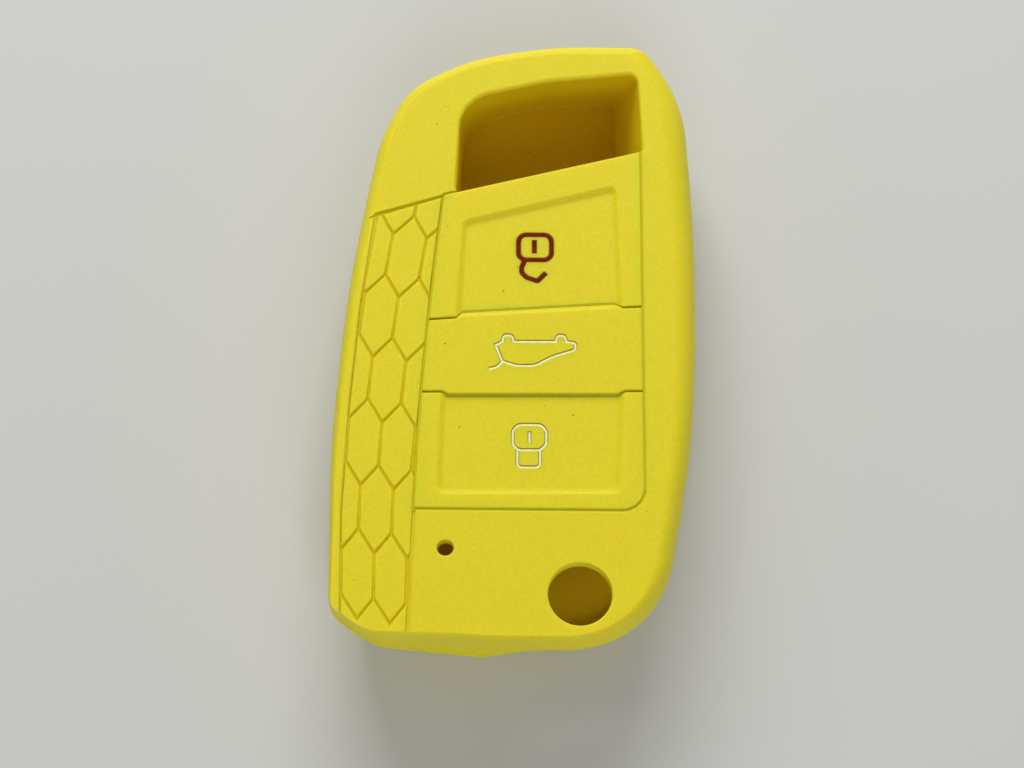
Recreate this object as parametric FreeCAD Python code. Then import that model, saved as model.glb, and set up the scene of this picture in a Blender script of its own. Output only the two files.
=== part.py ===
import FreeCAD, Part
import os
from math import atan2, ceil, cos, degrees, sqrt, tan

# Soft moulded cover for a folding car key, lying on its back.
# X runs across it, Y runs along it towards the key ring window, Z comes out of the button face.
# The back face lies on z = 0 and the origin is under the middle of the outline.

# Overall sizes of the moulding, in millimetres
body_width = 44.0
body_length = 76.5
body_thickness = 18.0

# Walls and roundings of the moulding
front_wall = 2.0
back_wall = 2.0
side_wall = 1.8
front_draft = 0.9
front_round = 2.4
back_draft = 2.5
back_round = 3.0
cavity_front_round = 0.6
cavity_back_round = 1.5

# Ridge left round the outside where the two halves of the mould meet; the walls draw in on both sides of it
ridge_level = 9.5
ridge_height = 0.2
ridge_thickness = 0.4

# Holes in the front wall
release_hole_radius = 3.65
indicator_hole_radius = 0.95

# Slot in the right side wall for the folding blade, wider round its pivot
blade_slot_level = 9.0
blade_slot_height = 5.2
pivot_slot_height = 8.0

# Button pads, the grooves round them and the web of wall left under the grooves
panel_corner_radius = 2.7
pad_groove_width = 0.55
web_thickness = 1.1
dish_depth = 0.5
boot_flank_width = 0.9

# Symbols engraved in the pads and filled with ink
symbol_line_width = 0.45
symbol_depth = 0.3
padlock_width = 4.4
padlock_height = 3.6
car_length = 10.2
car_height = 3.6

# Honeycomb strip beside the buttons
honeycomb_cell_width = 4.0
honeycomb_row_pitch = 7.8
honeycomb_apex_height = 2.6
honeycomb_row_fall = 0.26
honeycomb_groove_width = 0.45
honeycomb_groove_depth = 0.35

# Length by which every cutting shape passes the face that it cuts, and how flat a level edge has to be
overrun = 1.0
flatness = 0.001

# Corners of the outlines: x as a share of body_width, y of body_length, and how far the rounding of
# the corner reaches along its sides, as a share of the shorter side
body_outline_shares = [
    (0.368, 0.500, 0.36),
    (0.477, 0.405, 0.59),
    (0.504, 0.165, 0.46),
    (0.4945, -0.160, 0.43),
    (0.382, -0.501, 0.52),
    (-0.068, -0.500, 0.59),
    (-0.370, -0.484, 0.36),
    (-0.485, -0.437, 0.50),
    (-0.502, -0.209, 0.45),
    (-0.469, 0.078, 0.46),
    (-0.392, 0.338, 0.50),
    (-0.312, 0.4225, 0.42),
    (-0.135, 0.4755, 0.41),
    (0.102, 0.501, 0.42),
]
window_outline_shares = [
    (-0.1705, 0.2190, 0.08),
    (0.3475, 0.2948, 0.05),
    (0.3350, 0.4330, 0.13),
    (0.0800, 0.4170, 0.12),
    (-0.1570, 0.3840, 0.35),
]
unlock_dish_shares = [
    (-0.136, 0.170, 0.04),
    (0.267, 0.231, 0.04),
    (0.272, 0.000, 0),
    (-0.152, 0.000, 0),
]
lock_dish_shares = [
    (0.264, -0.100, 0),
    (0.254, -0.263, 0.05),
    (-0.192, -0.263, 0.05),
    (-0.177, -0.100, 0),
]

# Places on the front face: x as a share of body_width, y of body_length
release_hole_shares = (0.171, -0.427)
indicator_hole_shares = (-0.178, -0.3585)
panel_right_share = 0.3386
panel_bottom_share = -0.2987
panel_left_arc_shares = [(-0.2045, 0.2092), (-0.2545, -0.1307), (-0.2716, -0.4706)]
unlock_boot_divider_shares = [(-0.2227, 0.0118), (0.3386, 0.0288)]
boot_lock_divider_shares = [(-0.2432, -0.1163), (0.3386, -0.1137)]
unlock_symbol_shares = (0.050, 0.127)
boot_symbol_shares = (0.045, -0.047)
lock_symbol_shares = (0.038, -0.184)

# Ends of the blade slot: its upper end and the start of its wide part, as shares of body_length,
# and its end in the bottom wall, as a share of body_width
blade_slot_top_share = 0.294
pivot_slot_top_share = -0.233
pivot_slot_end_share = 0.054

# Thick walls beside the window, where the key is narrower: where the hollow's two sides stand at the
# front and at the back, as shares of body_width, and where the walls start, as shares of body_length
left_thick_wall_shares = (-0.166, -0.157)
right_thick_wall_shares = (0.343, 0.294)
left_thick_wall_start_share = 0.243
right_thick_wall_start_share = 0.298

# Edges of the honeycomb strip: its left edge from top to bottom, and where its top edge meets the window
honeycomb_left_shares = [(-0.407, 0.1787), (-0.448, -0.1767), (-0.439, -0.4622)]
honeycomb_top_share = 0.2100
honeycomb_first_row_share = 0.1430

# Middle column of the cells, from top to bottom
honeycomb_column_shares = [(-0.2795, 0.183), (-0.3486, -0.1438), (-0.3582, -0.4706)]

# Padlock: corner radius as a share of its height, key slot and shackle as shares of its width and height
padlock_corner_share = 0.30
padlock_slot_shares = [(-0.02, -0.20), (-0.02, 0.20)]
open_shackle_shares = [(-0.33, -0.50), (-0.42, -1.20), (0.10, -1.43), (0.31, -1.11)]
closed_shackle_shares = [(-0.37, -0.50), (-0.37, -1.20), (0.37, -1.20), (0.37, -0.50)]

# Car seen from the side with its boot lid up: x as a share of its length, y of its height, and the
# reach of each corner's rounding as a share of its shorter side
car_outline_shares = [
    (-0.40, 0.26, 0.3),
    (-0.36, 0.44, 0.4),
    (-0.23, 0.44, 0.4),
    (-0.20, 0.30, 0.3),
    (0.20, 0.30, 0.3),
    (0.23, 0.44, 0.4),
    (0.36, 0.44, 0.4),
    (0.39, 0.24, 0.3),
    (0.50, 0.18, 0.3),
    (0.36, -0.10, 0.3),
    (0.12, -0.46, 0.4),
    (-0.14, -0.46, 0.4),
    (-0.42, -0.20, 0.3),
]
boot_lid_shares = [(-0.36, -0.24), (-0.50, -0.60)]

# Heights that follow from the walls
wall_underside = body_thickness - front_wall
dish_floor = body_thickness - dish_depth


def vector(x, y, z=0.0):
    return FreeCAD.Vector(x, y, z)


def place(shares):
    """Point on the face plane, from a pair of shares of the body's width and length."""
    return vector(shares[0] * body_width, shares[1] * body_length)


def rounded_polygon(points, reaches):
    """Closed wire through the points; a tangent arc rounds each corner from its reach along both sides."""
    edges = []
    ends = []
    count = len(points)
    for i in range(count):
        corner = points[i]
        if reaches[i] == 0:
            ends.append((corner, corner))
            continue
        back = (points[i - 1] - corner).normalize()
        ahead = (points[(i + 1) % count] - corner).normalize()
        half_angle = back.getAngle(ahead) / 2
        bisector = (back + ahead).normalize()
        start = corner + back * reaches[i]
        middle = corner + bisector * (reaches[i] * (1 / cos(half_angle) - tan(half_angle)))
        finish = corner + ahead * reaches[i]
        edges.append((i, Part.Arc(start, middle, finish).toShape()))
        ends.append((start, finish))
    for i in range(count):
        start = ends[i][1]
        finish = ends[(i + 1) % count][0]
        edges.append((i, Part.LineSegment(start, finish).toShape()))
    in_order = sorted(edges, key=lambda edge: edge[0])
    return Part.Wire([edge for position, edge in in_order])


def rounded_outline(shares, width, length):
    """Wire of an outline whose corners are shares of a width and a length."""
    points = [vector(corner[0] * width, corner[1] * length) for corner in shares]
    sides = [(points[i] - points[i - 1]).Length for i in range(len(points))]
    shorter = [min(before, after) for before, after in zip(sides, sides[1:] + sides[:1])]
    reaches = [corner[2] * side for corner, side in zip(shares, shorter)]
    return rounded_polygon(points, reaches)


def outline(shares):
    return rounded_outline(shares, body_width, body_length)


def prism(face, bottom, top):
    """Solid over a flat face between two heights."""
    solid = face.extrude(vector(0, 0, top - bottom))
    solid.translate(vector(0, 0, bottom))
    return solid


def edges_at(shape, height):
    """Edges of a shape that lie flat at one height."""
    boxes = [edge.BoundBox for edge in shape.Edges]
    flat = [box.ZLength < flatness and abs(box.ZMin - height) < flatness for box in boxes]
    return [edge for edge, keep in zip(shape.Edges, flat) if keep]


def half_plane(line_shares, side):
    """Face on one side of a line across the panel: side is 1 above it and -1 below it."""
    left = place(line_shares[0])
    right = place(line_shares[1])
    along = (right - left) * (body_width / (right - left).Length)
    across = vector(0, side * body_length)
    corners = [left - along, right + along, right + along + across, left - along + across]
    return Part.Face(Part.makePolygon(corners + corners[:1]))


# Outside of the moulding and the hollow for the key
body_wire = outline(body_outline_shares)


def tapered_half(wire, end, draft, rounding):
    """Solid from the ridge's level to an end level, where the outline is drawn in and the edge is rounded."""
    widest = wire.copy()
    widest.translate(vector(0, 0, ridge_level))
    narrowest = wire.makeOffset2D(-draft)
    narrowest.translate(vector(0, 0, end))
    solid = Part.makeLoft([widest, narrowest], True, True)
    return solid.makeFillet(rounding, edges_at(solid, end))


def moulding_outside():
    front = tapered_half(body_wire, body_thickness, front_draft, front_round)
    back = tapered_half(body_wire, 0, back_draft, back_round)
    ridge_face = Part.Face(body_wire.makeOffset2D(ridge_height))
    ridge_bottom = ridge_level - ridge_thickness / 2
    ridge = prism(ridge_face, ridge_bottom, ridge_bottom + ridge_thickness)
    return front.multiFuse([back, ridge])


def thick_wall(side_shares, start_share, side):
    """Filled part of the hollow beside the window; its face leans from the front wall to the back wall."""
    outside = side * body_width
    start_y = start_share * body_length
    corners = [
        vector(side_shares[0] * body_width, start_y, body_thickness),
        vector(side_shares[1] * body_width, start_y, 0),
        vector(outside, start_y, 0),
        vector(outside, start_y, body_thickness),
    ]
    return Part.Face(Part.makePolygon(corners + corners[:1])).extrude(vector(0, body_length))


def key_cavity():
    wire = body_wire.makeOffset2D(-side_wall)
    front_share = (wall_underside - ridge_level) / (body_thickness - ridge_level)
    back_share = (ridge_level - back_wall) / ridge_level
    front = tapered_half(wire, wall_underside, front_draft * front_share, cavity_front_round)
    hollow = front.fuse(tapered_half(wire, back_wall, back_draft * back_share, cavity_back_round))
    hollow = hollow.cut(thick_wall(left_thick_wall_shares, left_thick_wall_start_share, -1))
    return hollow.cut(thick_wall(right_thick_wall_shares, right_thick_wall_start_share, 1))


# Key ring window and the two round holes
window_face = Part.Face(outline(window_outline_shares))


def front_cut(face):
    """Cutting shape right through the front wall."""
    return prism(face, wall_underside - overrun, body_thickness + overrun)


def round_hole(shares, radius):
    foot = place(shares) + vector(0, 0, wall_underside - overrun)
    return Part.makeCylinder(radius, front_wall + 2 * overrun, foot)


def blade_slot():
    """Opening for the blade: narrow along the right side, wide round the pivot corner."""
    outside = body_width / 2 + ridge_height + overrun
    slot_top = blade_slot_top_share * body_length
    wide_top = pivot_slot_top_share * body_length
    wide_end = pivot_slot_end_share * body_width
    lowest = -body_length / 2 - ridge_height - overrun
    inside = panel_right_share * body_width
    narrow_foot = vector(inside, wide_top - overrun, blade_slot_level - blade_slot_height / 2)
    narrow = Part.makeBox(outside - inside, slot_top - wide_top + overrun, blade_slot_height, narrow_foot)
    wide_foot = vector(wide_end, lowest, blade_slot_level - pivot_slot_height / 2)
    wide = Part.makeBox(outside - wide_end, wide_top - lowest, pivot_slot_height, wide_foot)
    return narrow.fuse(wide)


# Button panel: its left edge is a long arc, and two dividers part it into three cells
left_arc_points = [place(shares) for shares in panel_left_arc_shares]
left_arc = Part.Circle(left_arc_points[0], left_arc_points[1], left_arc_points[2])


def arc_point(arc, y):
    """Point at a given y on the left side of an arc."""
    rise = y - arc.Center.y
    return vector(arc.Center.x - sqrt(arc.Radius ** 2 - rise ** 2), y)


def panel_face():
    """Panel along the middle of its grooves; its top edge stands half a groove inside the window."""
    right = panel_right_share * body_width
    bottom = panel_bottom_share * body_length
    window_left = place(window_outline_shares[0])
    window_right = place(window_outline_shares[1])
    slope = (window_right.y - window_left.y) / (window_right.x - window_left.x)
    half_groove = pad_groove_width / 2 * sqrt(1 + slope ** 2)
    far_left = -body_width / 2
    top_at = [window_left.y + slope * (x - window_left.x) + half_groove for x in (far_left, right)]
    corners = [
        vector(far_left, bottom),
        vector(right, bottom),
        vector(right, top_at[1]),
        vector(far_left, top_at[0]),
    ]
    polygon = Part.Face(rounded_polygon(corners, [0, panel_corner_radius, 0, 0]))
    disc = Part.Face(Part.Wire(left_arc.toShape()))
    return polygon.common(disc).Faces[0]


panel = panel_face()
panel_opening = Part.Face(panel.OuterWire.makeOffset2D(pad_groove_width / 2))
above_boot = half_plane(unlock_boot_divider_shares, 1)
below_unlock = half_plane(unlock_boot_divider_shares, -1)
above_lock = half_plane(boot_lock_divider_shares, 1)
below_boot = half_plane(boot_lock_divider_shares, -1)
cell_sides = {
    "unlock": [above_boot],
    "boot": [below_unlock, above_lock],
    "lock": [below_boot],
}


def within(face, sides):
    """Part of a face that lies on all the given sides of the dividers."""
    for side in sides:
        face = face.common(side).Faces[0]
    return face


def pad_face(name):
    cell = within(panel, cell_sides[name])
    return Part.Face(cell.OuterWire.makeOffset2D(-pad_groove_width / 2))


def pad_web(name):
    """Thin membrane round a pad, at the bottom of its half of the grooves."""
    ring = within(panel_opening, cell_sides[name]).cut(pad_face(name)).cut(window_face)
    return prism(ring, wall_underside, wall_underside + web_thickness)


def boot_flank(divider_shares, dish_left_share, dish_right_share, side):
    """Cutting shape for the slope where the middle pad falls to the floor of the dish beside it."""
    left = place(divider_shares[0])
    right = place(divider_shares[1])
    along = (right - left).normalize()
    inward = vector(0, 0, side).cross(along)
    edge = left + inward * (pad_groove_width / 2)
    start = edge + along * ((dish_left_share * body_width - edge.x) / along.x)
    finish = edge + along * ((dish_right_share * body_width - edge.x) / along.x)
    fall = dish_depth / boot_flank_width
    above = body_thickness + overrun
    section = [
        (boot_flank_width, body_thickness),
        (boot_flank_width, above),
        (-overrun, above),
        (-overrun, dish_floor - fall * overrun),
    ]
    corners = [start + inward * depth + vector(0, 0, height) for depth, height in section]
    return Part.Face(Part.makePolygon(corners + corners[:1])).extrude(finish - start)


def boot_flanks():
    upper_left, upper_right = unlock_dish_shares[3][0], unlock_dish_shares[2][0]
    lower_left, lower_right = lock_dish_shares[3][0], lock_dish_shares[0][0]
    upper = boot_flank(unlock_boot_divider_shares, upper_left, upper_right, -1)
    return upper.fuse(boot_flank(boot_lock_divider_shares, lower_left, lower_right, 1))


# Symbols, drawn about their own centre and moved to their place on a pad
def stroke(points):
    """Faces that make up a line with round ends through the points."""
    half_width = symbol_line_width / 2
    faces = [Part.Face(Part.Wire(Part.makeCircle(half_width, point))) for point in points]
    for start, finish in zip(points, points[1:]):
        side = (finish - start).cross(vector(0, 0, 1)).normalize() * half_width
        corners = [start + side, finish + side, finish - side, start - side]
        faces.append(Part.Face(Part.makePolygon(corners + corners[:1])))
    return faces


def closed_line(wire):
    """Ring of one line width along a closed wire."""
    outside = Part.Face(wire.makeOffset2D(symbol_line_width / 2))
    return outside.cut(Part.Face(wire.makeOffset2D(-symbol_line_width / 2))).Faces


def scaled(shares, width, height):
    return [vector(share[0] * width, share[1] * height) for share in shares]


def padlock(shackle_shares):
    """Padlock hanging head down, as the pads show it."""
    half = 0.5
    corner_shares = [(half, half), (half, -half), (-half, -half), (-half, half)]
    width = padlock_width - symbol_line_width
    height = padlock_height - symbol_line_width
    radius = padlock_corner_share * height
    body = closed_line(rounded_polygon(scaled(corner_shares, width, height), [radius] * 4))
    slot = stroke(scaled(padlock_slot_shares, width, height))
    shackle = stroke(scaled(shackle_shares, width, height))
    return body + slot + shackle


def car_with_boot_up():
    lid = stroke(scaled(boot_lid_shares, car_length, car_height))
    return closed_line(rounded_outline(car_outline_shares, car_length, car_height)) + lid


def engraving(faces, shares, surface):
    """Ink that fills a symbol's engraved lines up to the surface round it."""
    solids = [prism(face, surface - symbol_depth, surface) for face in faces]
    ink = solids[0].multiFuse(solids[1:]).removeSplitter()
    ink.translate(place(shares))
    return ink


# Honeycomb strip: rows of zigzags joined by upright lines, all bent along with the middle column
column_points = [place(shares) for shares in honeycomb_column_shares]
column_arc = Part.Circle(column_points[0], column_points[1], column_points[2])


def groove(start, finish):
    """Straight shallow groove in the front face."""
    half_width = honeycomb_groove_width / 2
    length = (finish - start).Length
    floor = body_thickness - honeycomb_groove_depth
    box = Part.makeBox(length + 2 * half_width, 2 * half_width, honeycomb_groove_depth + overrun)
    box.translate(vector(-half_width, -half_width))
    turn = degrees(atan2(finish.y - start.y, finish.x - start.x))
    box.rotate(vector(0, 0), vector(0, 0, 1), turn)
    box.translate(vector(start.x, start.y, floor))
    return box


def honeycomb_point(column, y):
    """Corner of a cell, so many half cells from the middle column; the rows fall towards the right."""
    middle = arc_point(column_arc, y - column * honeycomb_row_fall)
    return middle + vector(column * honeycomb_cell_width / 2, 0)


def honeycomb_lines():
    """Grooves of all the rows, before they are trimmed to the strip."""
    first_row = honeycomb_first_row_share * body_length
    strip_left = place(honeycomb_left_shares[1])
    strip_width = arc_point(left_arc, strip_left.y).x - strip_left.x
    rows = ceil((first_row + body_length / 2) / honeycomb_row_pitch)
    reach = ceil(strip_width / honeycomb_cell_width) + 1
    upright = honeycomb_row_pitch - honeycomb_apex_height
    lines = []
    for row in range(rows):
        low = first_row - row * honeycomb_row_pitch
        valley_columns = [column for column in range(-reach, reach + 1) if (row + column) % 2]
        for column in valley_columns:
            valley = honeycomb_point(column, low)
            for side in (-1, 1):
                lines.append((valley, honeycomb_point(column + side, low + honeycomb_apex_height)))
            lines.append((valley, honeycomb_point(column, low - upright)))
    return lines


def honeycomb_strip():
    """Outline of the strip between the button panel and the left edge."""
    left = [place(shares) for shares in honeycomb_left_shares]
    bottom_y = left[2].y
    top_y = honeycomb_top_share * body_length
    right_bottom = arc_point(left_arc, bottom_y)
    right_top = arc_point(left_arc, top_y)
    right_middle = arc_point(left_arc, (bottom_y + top_y) / 2)
    edges = [
        Part.Arc(left[2], left[1], left[0]).toShape(),
        Part.LineSegment(left[0], right_top).toShape(),
        Part.Arc(right_top, right_middle, right_bottom).toShape(),
        Part.LineSegment(right_bottom, left[2]).toShape(),
    ]
    return Part.Face(Part.Wire(edges))


def honeycomb_grooves():
    strip = honeycomb_strip()
    grooves = [groove(start, finish) for start, finish in honeycomb_lines()]
    floor = body_thickness - honeycomb_groove_depth
    inner = prism(strip, floor, body_thickness + overrun)
    lines = grooves[0].multiFuse(grooves[1:]).common(inner)
    outer_edge = strip.OuterWire.makeOffset2D(honeycomb_groove_width)
    border = prism(Part.Face(outer_edge), floor, body_thickness + overrun).cut(inner)
    return lines.fuse(border)


def build():
    inks = {
        "unlock": engraving(padlock(open_shackle_shares), unlock_symbol_shares, dish_floor),
        "boot": engraving(car_with_boot_up(), boot_symbol_shares, body_thickness),
        "lock": engraving(padlock(closed_shackle_shares), lock_symbol_shares, dish_floor),
    }
    dishes = {
        "unlock": unlock_dish_shares,
        "lock": lock_dish_shares,
    }
    sleeve = moulding_outside().cut(key_cavity())
    sleeve = sleeve.cut(front_cut(window_face)).cut(front_cut(panel_opening))
    sleeve = sleeve.cut(round_hole(release_hole_shares, release_hole_radius))
    sleeve = sleeve.cut(round_hole(indicator_hole_shares, indicator_hole_radius))
    sleeve = sleeve.cut(blade_slot()).cut(honeycomb_grooves())
    nodes = {"sleeve": sleeve}
    for name, ink in inks.items():
        pad = prism(pad_face(name), wall_underside, body_thickness)
        if name in dishes:
            dish = Part.Face(outline(dishes[name]))
            pad = pad.cut(prism(dish, dish_floor, body_thickness + overrun))
        else:
            pad = pad.cut(boot_flanks())
        nodes[name + "_button"] = pad.cut(ink)
        nodes[name + "_button_web"] = pad_web(name)
        nodes[name + "_symbol_ink"] = ink
    return nodes


os.makedirs("parts", exist_ok=True)
for node, shape in build().items():
    shape.exportStep("parts/" + node + ".step")
    box = shape.BoundBox
    print(node, len(shape.Solids), "solids", shape.isValid(), round(shape.Volume, 1), "mm3",
          [round(v, 2) for v in (box.XMin, box.XMax, box.YMin, box.YMax, box.ZMin, box.ZMax)])
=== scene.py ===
# %% [markdown]
# # A soft key cover, modelled over its CAD frame
# The real thing is one silicone moulding that is stretched over a folding car key. It has a window for the
# key ring, three press pads in a grooved panel, a hole for the release button, a pin hole for a lamp and a
# slot in its side for the blade. The CAD frame holds the sizes and the joints. This lesson models the same
# pieces again with softer edges and gives them their finishes. The pieces are modelled at one unit to the
# millimetre, where booleans and bevels work best, and each finished piece is brought down to metres at the
# end.

# %% Load the frame
import math
import bmesh
import bpy
from mathutils import Matrix, Vector


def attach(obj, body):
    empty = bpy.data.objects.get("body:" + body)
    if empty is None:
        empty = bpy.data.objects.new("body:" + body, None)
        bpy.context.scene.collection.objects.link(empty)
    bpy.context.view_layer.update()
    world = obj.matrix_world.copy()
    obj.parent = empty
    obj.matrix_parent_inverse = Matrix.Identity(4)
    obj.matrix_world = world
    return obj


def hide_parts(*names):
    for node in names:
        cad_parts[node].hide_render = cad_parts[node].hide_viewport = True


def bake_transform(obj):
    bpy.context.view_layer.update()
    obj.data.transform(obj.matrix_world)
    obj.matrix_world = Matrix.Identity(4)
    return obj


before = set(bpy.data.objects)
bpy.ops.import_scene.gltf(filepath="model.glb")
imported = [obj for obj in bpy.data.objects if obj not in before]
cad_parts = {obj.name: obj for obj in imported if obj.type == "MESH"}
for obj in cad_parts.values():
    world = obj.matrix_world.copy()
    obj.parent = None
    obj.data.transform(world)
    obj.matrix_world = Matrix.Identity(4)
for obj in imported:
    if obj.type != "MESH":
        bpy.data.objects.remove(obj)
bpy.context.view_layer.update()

MM = 0.001

# %% [markdown]
# ## Small helpers
# Each piece below starts as a flat polygon and is then shaped in edit mode. An operator works on all that is
# selected, so the first two helpers clear the selection and turn to one piece. The next two pick parts of a
# mesh by a test in code, most often the flat end at some level. The last one prints what came out.

# %% Helpers for selecting
SAME_LEVEL = 0.002


def clear_selection():
    if bpy.context.object and bpy.context.object.mode == "EDIT":
        bpy.ops.object.mode_set(mode="OBJECT")
    bpy.ops.object.select_all(action="DESELECT")


def work_on(piece):
    clear_selection()
    bpy.context.view_layer.objects.active = piece
    piece.select_set(True)


def choose(piece, kind, test):
    """In edit mode, select only the verts, edges or faces that pass the test."""
    mode = {"verts": "VERT", "edges": "EDGE", "faces": "FACE"}[kind]
    bpy.ops.mesh.select_mode(type=mode)
    bpy.ops.mesh.select_all(action="DESELECT")
    form = bmesh.from_edit_mesh(piece.data)
    for element in getattr(form, kind):
        if test(element):
            element.select_set(True)
    bmesh.update_edit_mesh(piece.data)


def choose_level(piece, level):
    """In edit mode, select only the faces whose middle lies at a level."""
    choose(piece, "faces", lambda face: abs(face.calc_center_median().z - level) < SAME_LEVEL)


def describe(piece):
    """Print a piece's size and whether its skin is closed."""
    form = bmesh.new()
    form.from_mesh(piece.data)
    open_edges = sum(not edge.is_manifold for edge in form.edges)
    volume = form.calc_volume(signed=True)
    form.free()
    print(piece.name, len(piece.data.polygons), "faces,", open_edges, "open edges,", round(volume, 1), "mm3")


# %% [markdown]
# ## Outlines with rounded corners
# Almost every shape on the cover is a flat outline with rounded corners that has some thickness. A vertex
# bevel could round the corners, but its arcs are only true at right angles, and the wall that is drawn inward
# from them would fold. So the points of true arcs are worked out and a circle is moved onto them. A corner is
# given as x, y and reach, which is how far from the corner its arc begins.

# %% Helpers for outlines
DEGREES_PER_STEP = 5


def neighbours(corners, i):
    """The corners before and after one corner."""
    return Vector(corners[i - 1][:2]), Vector(corners[(i + 1) % len(corners)][:2])


def rounded(corners, fixed_steps=0):
    """Points along a polygon of (x, y, reach) corners, each rounded by an arc that touches both sides."""
    points = []
    for i, (x, y, reach) in enumerate(corners):
        corner = Vector((x, y))
        if not reach:
            points.append(corner)
            continue
        back, ahead = ((other - corner).normalized() for other in neighbours(corners, i))
        half = back.angle(ahead) / 2
        centre = corner + (back + ahead).normalized() * reach / math.cos(half)
        start, finish = corner + back * reach - centre, corner + ahead * reach - centre
        swing = start.angle_signed(finish)
        steps = fixed_steps or max(3, round(abs(math.degrees(swing)) / DEGREES_PER_STEP))
        points += [centre + Matrix.Rotation(-swing * k / steps, 2) @ start for k in range(steps + 1)]
    return points


def outline(name, corners, level, fixed_steps=0):
    """Flat polygon with rounded corners."""
    clear_selection()
    points = rounded(corners, fixed_steps)
    bpy.ops.mesh.primitive_circle_add(vertices=len(points), radius=10, fill_type="NGON")
    piece = bpy.context.object
    piece.name = name
    piece.data.name = name
    for vertex, point in zip(piece.data.vertices, points):
        vertex.co = (*point, level)
    return piece


def spread(corners, margin):
    """The same corners with every side moved outward by a margin."""
    wider = []
    for i, (x, y, reach) in enumerate(corners):
        corner = Vector((x, y))
        before, after = neighbours(corners, i)
        normals = [Vector((d.y, -d.x)).normalized() for d in (corner - before, after - corner)]
        shift = (normals[0] + normals[1]) / (1 + normals[0].dot(normals[1])) * margin
        growth = margin * math.tan(normals[0].angle_signed(normals[1], 0) / -2) if reach else 0
        wider.append((*(corner + shift), reach + growth))
    return wider


# %% [markdown]
# ## Slabs
# An extrusion gives an outline its thickness. Insetting an end face with some depth then draws the walls in,
# as a mould half has its draft.

# %% Helpers for slabs
def face_outward():
    """In edit mode, turn all faces of the mesh outward."""
    bpy.ops.mesh.select_all(action="SELECT")
    bpy.ops.mesh.normals_make_consistent(inside=False)


def slab(name, corners, low, high, inward=0, fixed_steps=0):
    """Closed slab over an outline, which may first be drawn inward all round."""
    piece = outline(name, corners, low, fixed_steps)
    bpy.ops.object.mode_set(mode="EDIT")
    choose(piece, "faces", lambda face: True)
    if inward:
        bpy.ops.mesh.inset(thickness=inward, depth=0)
        bpy.ops.mesh.select_all(action="INVERT")
        bpy.ops.mesh.delete(type="FACE")
        choose(piece, "faces", lambda face: True)
    bpy.ops.mesh.extrude_region_move(TRANSFORM_OT_translate={"value": (0, 0, high - low)})
    face_outward()
    bpy.ops.object.mode_set(mode="OBJECT")
    return piece


def draw_in(piece, level, inward, depth, aside=(0, 0)):
    """Carry the flat end at a level on by a depth, with the outline drawn in and moved aside."""
    work_on(piece)
    bpy.ops.object.mode_set(mode="EDIT")
    choose_level(piece, level)
    bpy.ops.mesh.inset(thickness=inward, depth=depth)
    bpy.ops.transform.translate(value=(*aside, 0))
    bpy.ops.object.mode_set(mode="OBJECT")


# %% [markdown]
# ## Cutting
# Booleans cut the openings. The silicone gets several finishes: its own colour on the face, a painted glow on
# the walls inside the cover, and painted shade on the back inside and down in a groove. A tool carries them,
# and the faces that it leaves in a piece take them over.

# %% Helpers for cutting
# All finishes but the face paint light or shade into the colour: a glow on the inner walls, and shade on the
# inner back, the groove floors and the webs.
FACE, INNER_WALL_GLOW, INNER_BACK_SHADE, GROOVE_SHADE, WEB = range(5)
finish_names = ("matte_silicone", "inner_wall_painted_glow", "inner_back_painted_shade",
                "groove_painted_shade", "web_painted_shade")
finishes = [bpy.data.materials.new(name) for name in finish_names]


def give_finish(piece, number):
    """Give a piece the slots of all the finishes and set its faces to one of them."""
    piece.data.materials.clear()
    for finish in finishes:
        piece.data.materials.append(finish)
    for face in piece.data.polygons:
        face.material_index = number


def cut(piece, tool, operation="DIFFERENCE"):
    """Work on a piece with a tool, which is used up."""
    for part in (piece, tool):
        if not any(part.data.materials):
            give_finish(part, FACE)
    work_on(piece)
    bpy.ops.object.modifier_add(type="BOOLEAN")
    boolean = piece.modifiers[-1]
    boolean.object = tool
    boolean.operation = operation
    boolean.solver = "MANIFOLD"
    bpy.ops.object.modifier_apply(modifier=boolean.name)
    bpy.data.objects.remove(tool, do_unlink=True)


# %% [markdown]
# ## Softening
# A Bevel modifier that reads a weight on each edge rounds only the edges that are named. The weights come
# from a function that is handed in, and the two tests at the end serve such functions.

# %% Helpers for softening
def soften(piece, width, share, segments=4):
    """Round edges by a share of the width; share(edge) is 0 where an edge stays sharp."""
    work_on(piece)
    form = bmesh.new()
    form.from_mesh(piece.data)
    weight = form.edges.layers.float.new("bevel_weight_edge")
    for edge in form.edges:
        edge[weight] = share(edge)
    form.to_mesh(piece.data)
    form.free()
    bpy.ops.object.modifier_add(type="BEVEL")
    bevel = piece.modifiers[-1]
    bevel.limit_method = "WEIGHT"
    bevel.width = width
    bevel.segments = segments
    bevel.use_clamp_overlap = False
    bpy.ops.object.modifier_apply(modifier=bevel.name)
    leftover = piece.data.attributes.get("bevel_weight_edge")
    if leftover:
        piece.data.attributes.remove(leftover)


def turn(edge):
    """Angle in degrees between the two faces of an edge."""
    return math.degrees(edge.calc_face_angle(0))


def lies_at(edge, level):
    return all(abs(vertex.co.z - level) < SAME_LEVEL for vertex in edge.verts)


# %% [markdown]
# ## The moulding's outside
# The cover was moulded in two halves that met in the middle of its thickness. The walls draw in from there to
# both faces, and a thin ridge shows where the halves met. So the outline starts as a thin slab at that level,
# its upper end is drawn in, and the rim of the slab is pushed out to make the ridge.

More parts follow.
